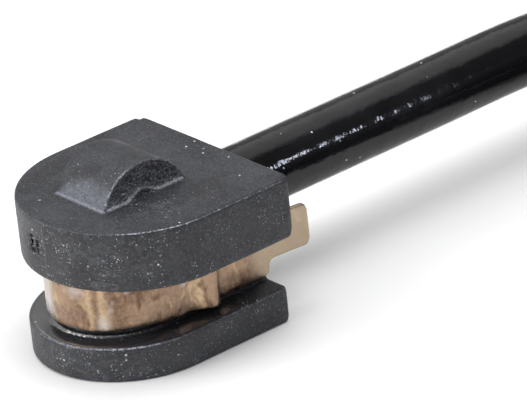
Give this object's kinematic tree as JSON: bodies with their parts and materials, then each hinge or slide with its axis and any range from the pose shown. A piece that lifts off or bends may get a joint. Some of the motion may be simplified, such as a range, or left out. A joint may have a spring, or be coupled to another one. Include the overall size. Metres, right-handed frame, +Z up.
{
  "type": "brake pad wear sensor",
  "caption": "Brake pad wear sensor: moulded head with a wear hump, slot and bronze spring clip, a black cable coiled with a tie, and a sealed plug.",
  "frame": {"origin": "flat underside of the head's lower plate, under the middle of the upper block's round nose", "axes": "+Y runs from the nose along the cable, +Z is up from the lower plate to the wear hump, +X is across the width"},
  "size_m": [0.0761, 0.1032, 0.0138],
  "materials": {
    "head_nylon": "charcoal glass-filled nylon, satin with pale fibre flecks",
    "spring_bronze": "satin rolled bronze strip with brown blotches",
    "cable_jacket": "glossy black",
    "core_brown": "satin",
    "core_yellow": "satin",
    "bare_copper": "bright stranded copper",
    "tinned_brass": "tinned, satin",
    "plug_plastic": "black moulded plastic, fine grain",
    "lock_plastic": "amber moulded plastic",
    "seal_rubber": "brick-red silicone, satin",
    "tie_nylon": "black nylon"
  },
  "bodies": {
    "root": {"head_housing": "head_nylon", "spring_clip": "spring_bronze", "wear_loop": "bare_copper", "splice_sleeve_left": "tinned_brass", "splice_sleeve_right": "tinned_brass", "head_conductor_left": "bare_copper", "head_conductor_right": "bare_copper", "head_core_left": "core_brown", "head_core_right": "core_yellow", "cable_run": "cable_jacket", "cable_coil": "cable_jacket", "cable_tail": "cable_jacket", "coil_tie": "tie_nylon", "tail_core_left": "core_brown", "tail_core_right": "core_yellow", "tail_conductor_left": "bare_copper", "tail_conductor_right": "bare_copper", "plug_housing": "plug_plastic", "secondary_lock": "lock_plastic", "interface_seal": "seal_rubber", "wire_seal_left": "seal_rubber", "wire_seal_right": "seal_rubber", "terminal_left": "tinned_brass", "terminal_right": "tinned_brass"}
  },
  "joints": []
}
